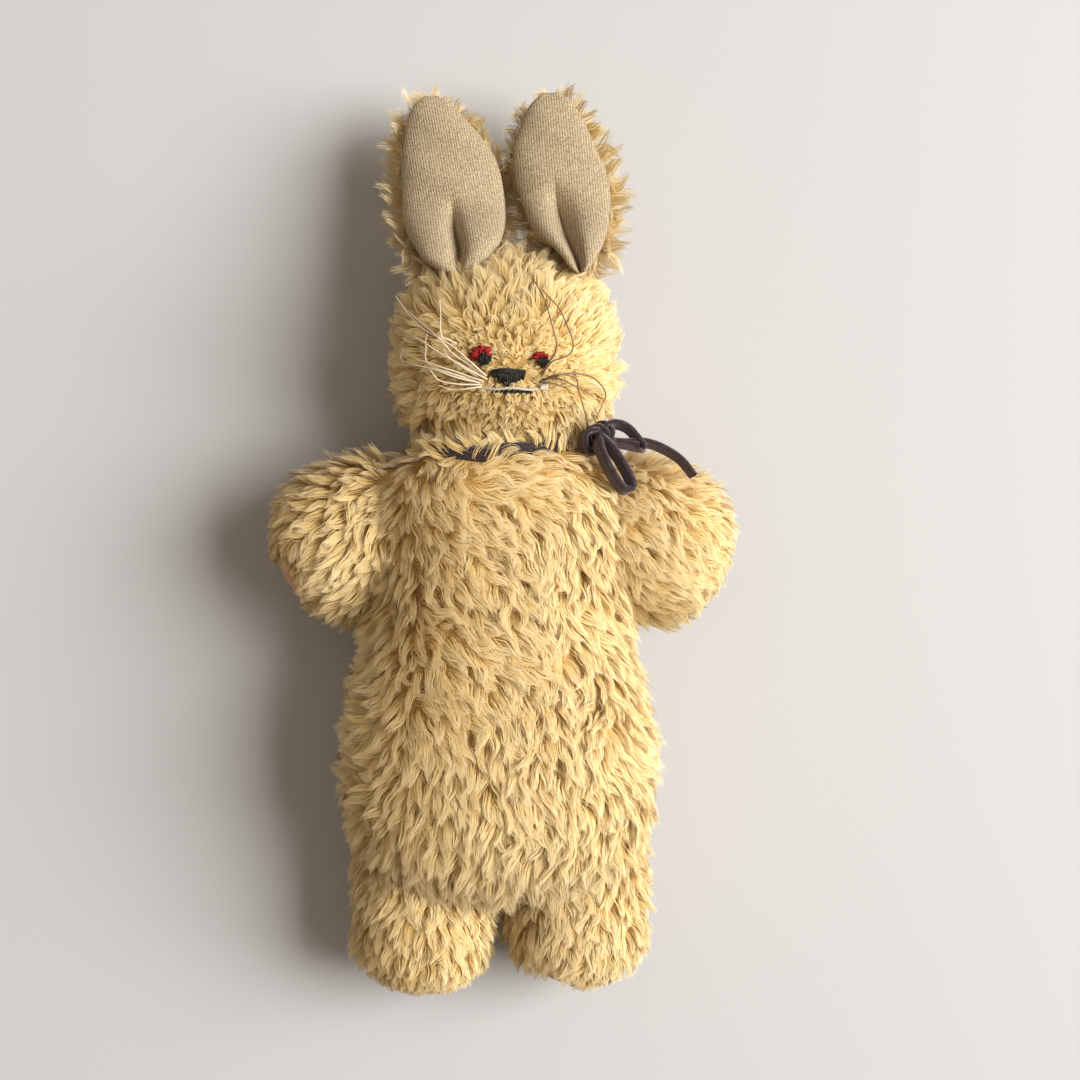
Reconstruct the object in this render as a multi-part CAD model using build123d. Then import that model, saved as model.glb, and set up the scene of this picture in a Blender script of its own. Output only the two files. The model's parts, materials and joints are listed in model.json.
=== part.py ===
from build123d import *
import math
import os

# Stuffed fleece rabbit lying on its back, belly up.
# Millimetres. X runs across the body, Y from the feet to the ears, Z up out of the belly.
# The origin is the middle of the toy's outline, on the surface that it lies on.

# ---- driving dimensions -------------------------------------------------------------
HALF_LENGTH = 150.0      # ear tips to origin, and origin to feet
HALF_SPAN = 75.5         # origin to the end of each arm
SEAM_Z = 34.0            # height of the side seam that joins front and back panels
PILE = 8.0               # fleece: backing and pile together, on body and limbs
EAR_PILE = 4.0           # shorter pile on the back of the ears
KNIT = 1.2               # jersey on the front of the ears
BODY_GAP = 0.4           # room between pieces that move against each other
PIECE_GAP = 0.2          # room between a fleece shell and the stuffing inside it

# torso, head and ears are pillows: a rounded outline round circles (x, y, radius), with soft edges
TORSO_CIRCLES = ((0, -60.0, 51.5), (0, -17.0, 43.0))
TORSO_DEPTH = 78.0
TORSO_EDGE = 27.0
FLAT_BACK = 2.0          # how much of the back is pressed flat where the toy lies on it
TORSO_Z = TORSO_DEPTH / 2 - FLAT_BACK
STUMP_TOP = 35.5         # the neck ends here, and the ribbon is tied just below
STUMP_HALF = (31.0, 23.5)

HEAD_X = 1.6
HEAD_Y = 66.0
HEAD_Z = 36.5
HEAD_CIRCLES = ((-5.0, 0, 33.0), (5.0, 0, 33.0))
HEAD_DEPTH = 66.0
HEAD_EDGE = 29.0
NOD = 15.0               # degrees each way
NECK_BALL_R = 15.0
NECK_POINT = Vector(0, STUMP_TOP + BODY_GAP, 37.0)

# arms and legs: round limbs, given by the middle of each end and a radius
ARM_R = 23.0
ARM_PIVOT = Vector(42.0, 4.0, SEAM_Z)
ARM_SLOPE = -28.0        # degrees below the shoulder line
ARM_REACH = (HALF_SPAN - ARM_PIVOT.X - ARM_R) / math.cos(math.radians(ARM_SLOPE))
ARM_FOLD = (-15.0, 40.0)
LEG_R = 24.0
LEG_PIVOT = Vector(25.0, -103.0, LEG_R + 2.0)
LEG_REACH = HALF_LENGTH - LEG_R + LEG_PIVOT.Y
LEG_FOLD = (-10.0, 50.0)

# ears, each on a round root at the top of the forehead: (side, root x, root y, lean in degrees, half-width)
EAR_Z = 45.0
EAR_ROOT_R = 7.0
EAR_DEPTH = 16.0
EAR_EDGE = 6.8
EAR_TIP_R = 8.0
EAR_WIDE_AT = 18.5       # along the ear from its root
EAR_NARROW_AT, EAR_NARROWER = 34.0, 2.4
EAR_FOLD = (-12.0, 55.0)  # room cut for the ears; they fold -5 to 35 degrees
EARS = (("left", -12.5, 92.5, 10.5, 17.0), ("right", 23.0, 92.5, 6.2, 15.8))
EAR_LENGTH = HALF_LENGTH - EARS[0][2]

# ribbon and bow
RIBBON_WIDTH = 7.0
RIBBON_THICK = 1.3
RIBBON_Y = 30.6
KNOT = Vector(32.0, 31.5, 55.0)
KNOT_SIZE = (8.5, 8.0, 6.5)

# face: x and y of each feature on the face
EYES = (("left", -5.0, 60.0, 7.4, 6.4), ("right", 13.2, 59.0, 5.2, 6.0))
NOSE = (3.2, 53.0)
NOSE_TOP, NOSE_BOTTOM, NOSE_HEIGHT = 11.0, 7.0, 4.8
MOUTH_Y = 49.6
MOUTH_LENGTH = 17.0
THREAD = 1.0
WHISKER = 0.7
WHISKER_STEP = 1.1       # between the roots of one bunch


def part_of(shape):
    """One plain Part from whatever a boolean or a transform gave."""
    return Part() + list(shape.solids())


def block(low, high):
    """An axis-aligned box between two corners."""
    size = [b - a for a, b in zip(low, high)]
    return Pos(*low) * Box(*size, align=(Align.MIN, Align.MIN, Align.MIN))


def above(z):
    return block((-200, -200, z), (200, 200, 200))


def below(z):
    return block((-200, -200, -200), (200, 200, z))


def pillow(circles, depth, edge, inset=0.0):
    """A stuffed shape: the outline round some circles, thick along Z, with its edges rounded."""
    rings = [(Pos(x, y) * Circle(radius - inset)).edge() for x, y, radius in circles]
    thick = extrude(make_hull(rings), depth / 2 - inset, both=True)
    rims = thick.edges().filter_by(lambda e: abs(abs(e.center().Z) - (depth / 2 - inset)) < 0.01)
    return fillet(rims, edge - inset)


def split_panels(shell, seam_z=SEAM_Z):
    """Front and back panel of a sewn shell, parted at the side seam."""
    return part_of(shell & above(seam_z)), part_of(shell & below(seam_z))


# ---- limbs ---------------------------------------------------------------------------
def capsule(reach, radius):
    """A round limb along +X with a ball at each end, the first centred on the origin."""
    back = ThreePointArc((-radius, 0), (-radius * math.sqrt(0.5), radius * math.sqrt(0.5)), (0, radius))
    side = Line((0, radius), (reach, radius))
    tip_mid = (reach + radius * math.sqrt(0.5), radius * math.sqrt(0.5))
    tip = ThreePointArc((reach, radius), tip_mid, (reach + radius, 0))
    axis = Line((reach + radius, 0), (-radius, 0))
    return revolve(make_face(back + side + tip + axis), Axis.X)


def capsule_fleece(reach, radius):
    """The sewn skin of a limb, open at the root where it joins the body."""
    skin = capsule(reach, radius) - capsule(reach, radius - PILE)
    return skin & block((-radius / 3, -100, -100), (200, 100, 100))


def capsule_stuffing(reach, radius):
    """Stuffing that fills a limb and bulges out of its open root as half a ball."""
    root_x = -radius / 3 - PIECE_GAP
    filling = capsule(reach, radius - PILE - PIECE_GAP) & block((root_x - 1, -100, -100), (200, 100, 100))
    bulge = Sphere(radius) & block((-200, -100, -100), (root_x, 100, 100))
    return filling + bulge


def swing_room(radius, fold, half_width=None):
    """What a limb along +X sweeps as it folds up and down: a ball, and a wedge beyond it."""
    low, high = (math.radians(angle) for angle in fold)
    clear = radius + 2 * BODY_GAP
    half_width = half_width or clear
    far = 4 * radius
    top = Vector(-math.sin(high), math.cos(high)) * clear
    bottom = Vector(-math.sin(-low), -math.cos(low)) * clear
    outline = Polygon(
        (top.X, top.Y), (bottom.X, bottom.Y),
        (bottom.X + far * math.cos(low), bottom.Y + far * math.sin(low)), (far, 0),
        (top.X + far * math.cos(high), top.Y + far * math.sin(high)), align=None)
    wedge = Rot(90, 0, 0) * extrude(outline, half_width, both=True)
    return Sphere(radius + BODY_GAP), wedge


def limb_place(pivot, heading):
    """Puts a limb made along +X at its pivot, pointing along a heading in the XY plane."""
    return Pos(pivot.X, pivot.Y, pivot.Z) * Rot(0, 0, heading)


LIMBS = {
    "left_arm": (limb_place(Vector(-ARM_PIVOT.X, ARM_PIVOT.Y, ARM_PIVOT.Z), 180 - ARM_SLOPE),
                 ARM_REACH, ARM_R, ARM_FOLD),
    "right_arm": (limb_place(ARM_PIVOT, ARM_SLOPE), ARM_REACH, ARM_R, ARM_FOLD),
    "left_leg": (limb_place(Vector(-LEG_PIVOT.X, LEG_PIVOT.Y, LEG_PIVOT.Z), -90),
                 LEG_REACH, LEG_R, LEG_FOLD),
    "right_leg": (limb_place(LEG_PIVOT, -90), LEG_REACH, LEG_R, LEG_FOLD),
}


def make_limbs():
    pieces = {}
    for name, (place, reach, radius, _) in LIMBS.items():
        skin = place * capsule_fleece(reach, radius)
        seam = place.position.Z
        front, back = split_panels(skin, seam)
        pieces[f"{name}_front_fleece"] = front
        pieces[f"{name}_back_fleece"] = back
        pieces[f"{name}_stuffing"] = place * capsule_stuffing(reach, radius)
    return pieces


# ---- torso ---------------------------------------------------------------------------
def torso_body(inset=0.0):
    """A pillow with a neck stump and a flat back to lie on."""
    stump = Ellipse(STUMP_HALF[0] - inset, STUMP_HALF[1] - inset)
    stump = Pos(0, STUMP_TOP, 0) * Rot(90, 0, 0) * extrude(stump, STUMP_TOP)
    body = pillow(TORSO_CIRCLES, TORSO_DEPTH, TORSO_EDGE, inset) + stump
    return Pos(0, 0, TORSO_Z) * body & above(inset)


def torso_room():
    """What the limbs and the neck ball need, cut out of the torso."""
    room = [Pos(*NECK_POINT) * Sphere(NECK_BALL_R + BODY_GAP)]
    for place, _, radius, fold in LIMBS.values():
        room += [place * tool for tool in swing_room(radius, fold)]
    return room


def carve(shape, tools):
    """A shape with each tool cut out of it in turn."""
    for tool in tools:
        shape = shape - tool
    return shape


def make_torso():
    room = torso_room()
    outer = torso_body()
    shell = carve(outer - torso_body(PILE), room)
    front, back = split_panels(shell)
    return {
        "torso_front_fleece": front,
        "torso_back_fleece": back,
        "torso_stuffing": part_of(carve(torso_body(PILE + PIECE_GAP), room)),
    }


# ---- neck, ribbon and bow -----------------------------------------------------------------
def ellipse_ring(half_x, half_z, thickness, width):
    """A flat band wound round the neck."""
    outer = Ellipse(half_x + thickness, half_z + thickness)
    inner = Ellipse(half_x, half_z)
    return Rot(90, 0, 0) * extrude(outer - inner, width / 2, both=True)


def strip(points, radii, width):
    """A ribbon standing on edge: its middle line in the XY plane, its width along Z."""
    line = FilletPolyline(*points, radius=radii)
    face = trace(line, RIBBON_THICK)
    return extrude(face, width / 2, both=True)


def folded_loop(length, opening):
    """A flattened loop of ribbon along +X, seen on its face, with its width along Y."""
    outer = SlotOverall(length, opening + 2 * RIBBON_THICK)
    inner = SlotOverall(length - 2 * RIBBON_THICK, opening)
    ring = Pos(length / 2, 0, 0) * (outer - inner)
    return Rot(90, 0, 0) * extrude(ring, RIBBON_WIDTH / 2, both=True)


def make_ribbon():
    band = ellipse_ring(STUMP_HALF[0] + PIECE_GAP, STUMP_HALF[1] + PIECE_GAP, RIBBON_THICK, RIBBON_WIDTH)
    band = Pos(0, RIBBON_Y, TORSO_Z) * band
    knot = Pos(*KNOT) * fillet(Box(*KNOT_SIZE).edges(), 2.2)
    knot -= band
    front = Pos(KNOT.X + 3.2, KNOT.Y - 4.4, KNOT.Z + 4.6) * Rot(0, 0, -46) * Rot(0, -14, 0) \
        * folded_loop(19.0, 1.8)
    back_ring = [(36.6, 34.2), (38.2, 39.6), (44.0, 40.6), (48.6, 36.6), (44.6, 35.2), (38.8, 33.0)]
    back = Pos(0, 0, KNOT.Z) * strip(back_ring, [2.4, 2.6, 1.6, 6.0], RIBBON_WIDTH)
    tail_line = [(36.6, 31.0), (42.0, 33.4), (48.6, 34.4), (54.8, 32.2), (59.8, 28.2), (63.0, 22.8)]
    tail_radii = corner_radii(tail_line)
    tail = Pos(0, 0, KNOT.Z) * strip(tail_line, tail_radii, RIBBON_WIDTH)
    return {
        "neck_ribbon_band": part_of(band),
        "bow_knot": part_of(knot),
        "bow_front_loop": part_of(front - knot),
        "bow_back_loop": part_of(back - knot),
        "bow_tail": part_of(tail - knot - back),
    }


def corner_radii(points):
    """The largest arc that each corner's two runs allow."""
    flat = [Vector(*p) for p in points]
    radii = []
    for a, b, c in zip(flat, flat[1:], flat[2:]):
        turn = math.radians((b - a).get_angle(c - b))
        shorter = min((b - a).length, (c - b).length)
        radii.append(0.45 * shorter / math.tan(turn / 2))
    return radii


def make_neck():
    return {"neck_stuffing": Pos(*NECK_POINT) * Sphere(NECK_BALL_R)}


# ---- ears --------------------------------------------------------------------------------
def ear_pad(half_width, inset=0.0):
    circles = ((EAR_WIDE_AT, 0, half_width), (EAR_NARROW_AT, 0, half_width - EAR_NARROWER),
               (EAR_LENGTH - EAR_TIP_R, 0, EAR_TIP_R), (5.0, 0, EAR_ROOT_R + 3.0))
    return pillow(circles, EAR_DEPTH, EAR_EDGE, inset)


def ear_place(root_x, root_y, lean):
    return Pos(root_x, root_y, EAR_Z) * Rot(0, 0, 90 + lean)


def make_ears():
    pieces = {}
    beyond_root = block((EAR_ROOT_R / 2, -50, -50), (100, 50, 50))
    for side, root_x, root_y, lean, half_width in EARS:
        place = ear_place(root_x, root_y, lean)
        outer = ear_pad(half_width)
        knit = (outer - ear_pad(half_width, KNIT)) & above(0)
        fleece = (outer - ear_pad(half_width, EAR_PILE)) & below(0)
        knit, fleece = ((piece & beyond_root) - Sphere(EAR_ROOT_R + PIECE_GAP) for piece in (knit, fleece))
        front_pad = ear_pad(half_width, KNIT + PIECE_GAP) & above(0)
        back_pad = ear_pad(half_width, EAR_PILE + PIECE_GAP) & below(0)
        pad = (front_pad + back_pad) & beyond_root
        pieces[f"{side}_ear_knit_front"] = part_of(place * knit)
        pieces[f"{side}_ear_back_fleece"] = part_of(place * fleece)
        pieces[f"{side}_ear_padding"] = place * part_of(Sphere(EAR_ROOT_R) + pad)
    return pieces


def ear_room():
    """What the ears sweep at their roots, cut out of the head."""
    room = []
    for _, root_x, root_y, lean, half_width in EARS:
        place = ear_place(root_x, root_y, lean)
        room += [place * tool for tool in swing_room(EAR_ROOT_R, EAR_FOLD, half_width)]
    return room


# ---- head ---------------------------------------------------------------------------------
def head_body(inset=0.0):
    return Pos(HEAD_X, HEAD_Y, HEAD_Z) * pillow(HEAD_CIRCLES, HEAD_DEPTH, HEAD_EDGE, inset)


def head_front_z(x, y):
    """Height of the face at a point."""
    half_flat = HEAD_CIRCLES[1][0]
    off_x = max(0.0, abs(x - HEAD_X) - half_flat)
    across = math.hypot(off_x, y - HEAD_Y) - (HEAD_CIRCLES[1][2] - HEAD_EDGE)
    drop = HEAD_EDGE - math.sqrt(HEAD_EDGE ** 2 - max(0.0, across) ** 2)
    return HEAD_Z + HEAD_DEPTH / 2 - drop


def nod_room():
    """Room for the neck stump and its ball as the head nods."""
    room = [Sphere(NECK_BALL_R + BODY_GAP)]
    for angle in (-NOD, NOD):
        room += [Rot(angle, 0, 0) * block((-60, -60, -60), (60, BODY_GAP, 60))]
    return [Pos(*NECK_POINT) * tool for tool in room]


def make_head():
    room = nod_room() + ear_room()
    shell = carve(head_body() - head_body(PILE), room)
    front, back = split_panels(shell, HEAD_Z)
    return {
        "head_face_fleece": front,
        "head_back_fleece": back,
        "head_stuffing": part_of(carve(head_body(PILE + PIECE_GAP), room)),
    }


def on_face(outline, x, y, height):
    """A flat shape raised off the face by a height, its underside following the face."""
    top = head_front_z(x, y) + height
    prism = Pos(x, y, top - 6.0) * extrude(outline, 6.0)
    return part_of(prism - head_body(-0.05))


def thread_along(points, diameter):
    """A thread or a whisker through points, with a round section and small rounded corners."""
    line = FilletPolyline(*points, radius=1.2) if len(points) > 2 else Line(*points)
    section = Plane(origin=line @ 0, z_dir=line % 0) * Circle(diameter / 2)
    return sweep(section, line)


def make_features():
    pieces = {}
    for side, x, y, width, height in EYES:
        pieces[f"{side}_eye_red_stitching"] = on_face(Ellipse(width / 2, height / 2), x, y, 1.0)
        pupil = on_face(Ellipse(width / 4, height / 4), x + 0.4, y - 0.8, 2.0)
        pieces[f"{side}_eye_dark_pupil"] = part_of(pupil - pieces[f"{side}_eye_red_stitching"])
    x, y = NOSE
    top, bottom = y + NOSE_HEIGHT / 2, y - NOSE_HEIGHT / 2
    outline = Polygon((x - NOSE_TOP / 2, top), (x - NOSE_BOTTOM / 2 + 1, bottom),
                      (x + NOSE_BOTTOM / 2 + 1, bottom), (x + NOSE_TOP / 2, top), align=None)
    pieces["nose_stitching"] = on_face(Pos(-x, -y, 0) * outline, x, y, 1.4)
    mouth_z = head_front_z(NOSE[0], MOUTH_Y) + THREAD
    ends = [(NOSE[0] + side * MOUTH_LENGTH / 2, MOUTH_Y, mouth_z) for side in (-1, 1)]
    knot = Pos(ends[1][0] + 0.4, MOUTH_Y, mouth_z) * Sphere(THREAD)
    pieces["mouth_thread"] = part_of(thread_along(ends, THREAD) + knot)
    return pieces


# whiskers from the top of each bunch down: how far a tip stands out, up the face and off it
WHISKERS = {
    "left": (-4.6, 52.6, [(-11, 22, 12), (-27, 27, 9), (-28, 17, 8), (-25, 10, 6), (-24, 4, 9), (-13, -1, 3)]),
    "right": (15.6, 52.4, [(-4, 27, 12), (6, 25, 11), (18, 4, 9), (12, 0, 7), (6, -2, 4)]),
}


def make_whiskers():
    pieces = {}
    for side, (root_x, root_y, tips) in WHISKERS.items():
        group = Part()
        for index, (reach, rise, lift) in enumerate(tips):
            fan = (len(tips) - 1) / 2 - index
            x, y = root_x + reach * 0.06, root_y + fan * WHISKER_STEP
            z = head_front_z(x, y) + WHISKER
            bend = (x + reach * 0.45, y + rise * 0.36, z + lift * 0.9 + 0.8)
            end = (x + reach, y + rise, z + lift * 0.55)
            group += thread_along([(x, y, z), bend, end], WHISKER)
        pieces[f"{side}_whiskers"] = part_of(group)
    return pieces


# ---- write the sub-parts --------------------------------------------------------------------
def main():
    os.makedirs("parts", exist_ok=True)
    pieces = {}
    for maker in (make_torso, make_limbs, make_neck, make_ribbon, make_head, make_ears, make_features,
                  make_whiskers):
        pieces.update(maker())
    for name, piece in pieces.items():
        export_step(piece, f"parts/{name}.step")


main()
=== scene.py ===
import json
import math

import bpy
import numpy as np
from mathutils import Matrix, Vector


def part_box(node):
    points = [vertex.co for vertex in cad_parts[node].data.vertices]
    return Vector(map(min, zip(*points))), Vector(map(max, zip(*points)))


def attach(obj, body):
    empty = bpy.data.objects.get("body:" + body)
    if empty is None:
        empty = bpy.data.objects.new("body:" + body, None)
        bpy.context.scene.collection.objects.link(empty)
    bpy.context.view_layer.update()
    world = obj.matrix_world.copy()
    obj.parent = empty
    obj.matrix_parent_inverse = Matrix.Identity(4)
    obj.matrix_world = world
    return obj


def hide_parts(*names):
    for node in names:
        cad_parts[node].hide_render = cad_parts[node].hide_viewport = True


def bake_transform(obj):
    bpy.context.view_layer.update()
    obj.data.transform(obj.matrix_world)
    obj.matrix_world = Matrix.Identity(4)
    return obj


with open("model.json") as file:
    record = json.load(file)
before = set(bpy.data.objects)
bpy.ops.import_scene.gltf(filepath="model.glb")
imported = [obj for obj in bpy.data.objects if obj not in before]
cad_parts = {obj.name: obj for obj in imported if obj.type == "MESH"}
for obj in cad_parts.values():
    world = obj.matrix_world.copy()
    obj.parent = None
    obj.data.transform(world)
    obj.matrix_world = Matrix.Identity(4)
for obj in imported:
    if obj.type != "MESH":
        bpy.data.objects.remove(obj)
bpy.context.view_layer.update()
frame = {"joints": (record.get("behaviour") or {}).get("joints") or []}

# Stuffed fleece rabbit lying on its back. Shapes are worked out in millimetres and made in metres.
MM = 0.001
FULL_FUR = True
EAR_SHEET = 80.0             # the ears' UV square, across and along
JERSEY_WALE = 0.85
JERSEY_COURSE = 0.62

JOINT = {joint["name"]: joint for joint in frame["joints"]}


def joint_point(name):
    """A hinge's place in millimetres."""
    return np.array(JOINT[name]["pos_m"], float) / MM


def node_box(name):
    low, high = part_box(name)
    return np.array(low) / MM, np.array(high) / MM


def unit(v):
    return v / np.maximum(np.linalg.norm(v, axis=-1, keepdims=True), 1e-9)


def ease(x, low, high):
    """Smooth rise from 0 at low to 1 at high."""
    t = np.clip((x - low) / (high - low), 0, 1)
    return t * t * (3 - 2 * t)


# ---------------------------------------------------------------- camera, light and floor
SENSOR_WIDTH = 36.0
VIEW_SPAN = 0.3514           # width of the view at the toy's middle height
VIEW_CENTRE = (0.013, 0.0029)
CAMERA_HEIGHT = 0.60
MIDDLE_HEIGHT = 0.040
TABLE_HALF = 1.6


def add_camera():
    data = bpy.data.cameras.new("camera")
    data.sensor_width = SENSOR_WIDTH
    data.lens = SENSOR_WIDTH * (CAMERA_HEIGHT - MIDDLE_HEIGHT) / VIEW_SPAN
    camera = bpy.data.objects.new("camera", data)
    camera.location = (*VIEW_CENTRE, CAMERA_HEIGHT)
    bpy.context.collection.objects.link(camera)
    bpy.context.scene.camera = camera


def add_area(name, location, target, size, power, colour):
    data = bpy.data.lights.new(name, "AREA")
    data.shape = "RECTANGLE"
    data.size, data.size_y = size
    data.energy = power
    data.color = colour
    light = bpy.data.objects.new(name, data)
    light.location = location
    aim = np.array(target) - np.array(location)
    yaw = math.atan2(aim[1], aim[0]) - math.pi / 2
    tilt = math.acos(-aim[2] / np.linalg.norm(aim))
    light.rotation_euler = (tilt, 0, yaw)
    bpy.context.collection.objects.link(light)


def add_stage():
    add_area("window_light", (1.86, 0.20, 1.74), (0, 0, 0.03), (1.60, 1.85), 114.0, (1.0, 0.985, 0.965))
    add_area("ceiling_fill", (-0.25, 0.1, 1.3), (0, 0, 0), (1.6, 1.6), 2.0, (1.0, 0.97, 0.93))
    world = bpy.data.worlds.new("studio")
    world.use_nodes = True
    background = world.node_tree.nodes["Background"]
    background.inputs["Color"].default_value = (1.0, 0.77, 0.55, 1)
    background.inputs["Strength"].default_value = 0.20
    bpy.context.scene.world = world
    bpy.context.scene.view_settings.view_transform = "Standard"
    mesh = bpy.data.meshes.new("table_top")
    half = TABLE_HALF
    mesh.from_pydata([(-half, -half, 0), (half, -half, 0), (half, half, 0), (-half, half, 0)], [], [(0, 1, 2, 3)])
    floor = bpy.data.objects.new("table_top", mesh)
    mesh.materials.append(table_paint())
    bpy.context.collection.objects.link(floor)


# ---------------------------------------------------------------- materials
def new_material(name, base, roughness):
    """A material with one Principled shader; its plain values sit on the shader's own sockets."""
    material = bpy.data.materials.new(name)
    material.use_nodes = True
    shader = material.node_tree.nodes["Principled BSDF"]
    shader.inputs["Base Color"].default_value = (*base, 1)
    shader.inputs["Roughness"].default_value = roughness
    return material, material.node_tree, shader


def add_node(tree, kind, place, **values):
    made = tree.nodes.new(kind)
    made.location = place
    for key, value in values.items():
        if hasattr(made, key):
            setattr(made, key, value)
        else:
            made.inputs[key.replace("_", " ")].default_value = value
    return made


def ramp(tree, place, stops):
    made = tree.nodes.new("ShaderNodeValToRGB")
    made.location = place
    elements = made.color_ramp.elements
    while len(elements) < len(stops):
        elements.new(0.5)
    for element, (position, colour) in zip(elements, stops):
        element.position = position
        element.color = (*colour, 1)
    return made


def mix_colour(tree, place, mode="MIX"):
    made = tree.nodes.new("ShaderNodeMix")
    made.location = place
    made.data_type = "RGBA"
    made.blend_type = mode
    made.inputs[0].default_value = 1.0
    return made


def grain_group():
    """Fine fibre grain: a mask from 0 to 1, and a height for bump, from noise of two sizes."""
    group = bpy.data.node_groups.new("fibre_grain", "ShaderNodeTree")
    face = group.interface
    scale = face.new_socket("Scale", in_out="INPUT", socket_type="NodeSocketFloat")
    scale.default_value = 900.0
    face.new_socket("Mask", in_out="OUTPUT", socket_type="NodeSocketFloat")
    face.new_socket("Height", in_out="OUTPUT", socket_type="NodeSocketFloat")
    inlet = add_node(group, "NodeGroupInput", (-700, 0))
    outlet = add_node(group, "NodeGroupOutput", (500, 0))
    place = add_node(group, "ShaderNodeTexCoord", (-700, 200))
    fine = add_node(group, "ShaderNodeTexNoise", (-300, 150), Detail=4.0, Roughness=0.65)
    broad = add_node(group, "ShaderNodeTexNoise", (-300, -150), Detail=2.0)
    shrink = add_node(group, "ShaderNodeMath", (-500, -150), operation="MULTIPLY")
    shrink.inputs[1].default_value = 0.12
    group.links.new(place.outputs["Object"], fine.inputs["Vector"])
    group.links.new(place.outputs["Object"], broad.inputs["Vector"])
    group.links.new(inlet.outputs["Scale"], fine.inputs["Scale"])
    group.links.new(inlet.outputs["Scale"], shrink.inputs[0])
    group.links.new(shrink.outputs[0], broad.inputs["Scale"])
    group.links.new(broad.outputs["Fac"], outlet.inputs["Mask"])
    group.links.new(fine.outputs["Fac"], outlet.inputs["Height"])
    return group


def place_grain(tree, group, place, scale):
    made = tree.nodes.new("ShaderNodeGroup")
    made.node_tree = group
    made.location = place
    made.inputs["Scale"].default_value = scale
    return made


def add_bump(tree, shader, height, strength, distance):
    bump = add_node(tree, "ShaderNodeBump", (-200, -300))
    bump.inputs["Strength"].default_value = strength
    bump.inputs["Distance"].default_value = distance
    tree.links.new(height, bump.inputs["Height"])
    tree.links.new(bump.outputs["Normal"], shader.inputs["Normal"])


def vary_roughness(tree, shader, mask, low, high):
    spread = add_node(tree, "ShaderNodeMapRange", (-200, -80))
    spread.inputs["To Min"].default_value = low
    spread.inputs["To Max"].default_value = high
    tree.links.new(mask, spread.inputs["Value"])
    tree.links.new(spread.outputs["Result"], shader.inputs["Roughness"])


def table_paint():
    material, _, shader = new_material("table_paint", (0.56, 0.562, 0.565), 0.6)
    shader.inputs["Specular IOR Level"].default_value = 0.2
    return material


def pile_fleece():
    """Loose wool locks: ochre at the root and cream at the tip along V, from lock to lock along U. The gradient along
    V is partly the wool's own colour and partly painted light: darker roots for the shade in the gaps between locks,
    paler tips for the light on top of the locks.
    """
    material, tree, shader = new_material("pile_fleece", (0.8, 0.62, 0.32), 0.82)
    shader.inputs["Specular IOR Level"].default_value = 0.18
    shader.inputs["Sheen Weight"].default_value = 0.35
    shader.inputs["Sheen Roughness"].default_value = 0.5
    shader.inputs["Sheen Tint"].default_value = (1.0, 0.93, 0.78, 1)
    uv = add_node(tree, "ShaderNodeUVMap", (-1000, 0), uv_map="OFBake")
    split = add_node(tree, "ShaderNodeSeparateXYZ", (-800, 0))
    tree.links.new(uv.outputs["UV"], split.inputs["Vector"])
    # partly painted light: the dark ochre roots stand for shade between locks and the cream tips for light on their
    # tops
    along = ramp(tree, (-550, 120), [
        (0.0, (0.68, 0.42, 0.13)), (0.28, (0.84, 0.60, 0.23)),
        (0.55, (0.90, 0.70, 0.34)), (0.85, (0.93, 0.77, 0.45)), (1.0, (0.94, 0.81, 0.53))])
    tone = ramp(tree, (-550, -160), [
        (0.0, (0.80, 0.70, 0.50)), (0.4, (0.96, 0.93, 0.84)),
        (0.75, (1.0, 1.0, 1.0)), (1.0, (1.0, 1.0, 1.0))])
    tree.links.new(split.outputs["Y"], along.inputs["Fac"])
    tree.links.new(split.outputs["X"], tone.inputs["Fac"])
    tint = mix_colour(tree, (-200, 60), "MULTIPLY")
    tree.links.new(along.outputs["Color"], tint.inputs["A"])
    tree.links.new(tone.outputs["Color"], tint.inputs["B"])
    tree.links.new(tint.outputs["Result"], shader.inputs["Base Color"])
    return material


def fleece_backing(grain, name="fleece_backing", worn_at=None, worn_size=None):
    """The knitted cloth under the pile, matted and ochre, darkened as painted shade for the gaps between locks, and
    pinkish tan where the pile has worn off.
    """
    material, tree, shader = new_material(name, (0.5, 0.3, 0.1), 0.95)
    shader.inputs["Specular IOR Level"].default_value = 0.1
    fibre = place_grain(tree, grain, (-900, 0), 1400.0)
    # painted shade: this dark ochre stands for the shadow in the gaps between locks
    colours = ramp(tree, (-550, 100), [
        (0.3, (0.34, 0.18, 0.05)), (0.55, (0.55, 0.35, 0.12)), (0.8, (0.66, 0.46, 0.20))])
    tree.links.new(fibre.outputs["Height"], colours.inputs["Fac"])
    cloth = colours.outputs["Color"]
    if worn_at is not None:
        cloth = add_worn_place(tree, cloth, fibre, worn_at, worn_size)
    tree.links.new(cloth, shader.inputs["Base Color"])
    add_bump(tree, shader, fibre.outputs["Height"], 0.7, 0.0006)
    vary_roughness(tree, shader, fibre.outputs["Mask"], 0.85, 1.0)
    return material


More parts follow.
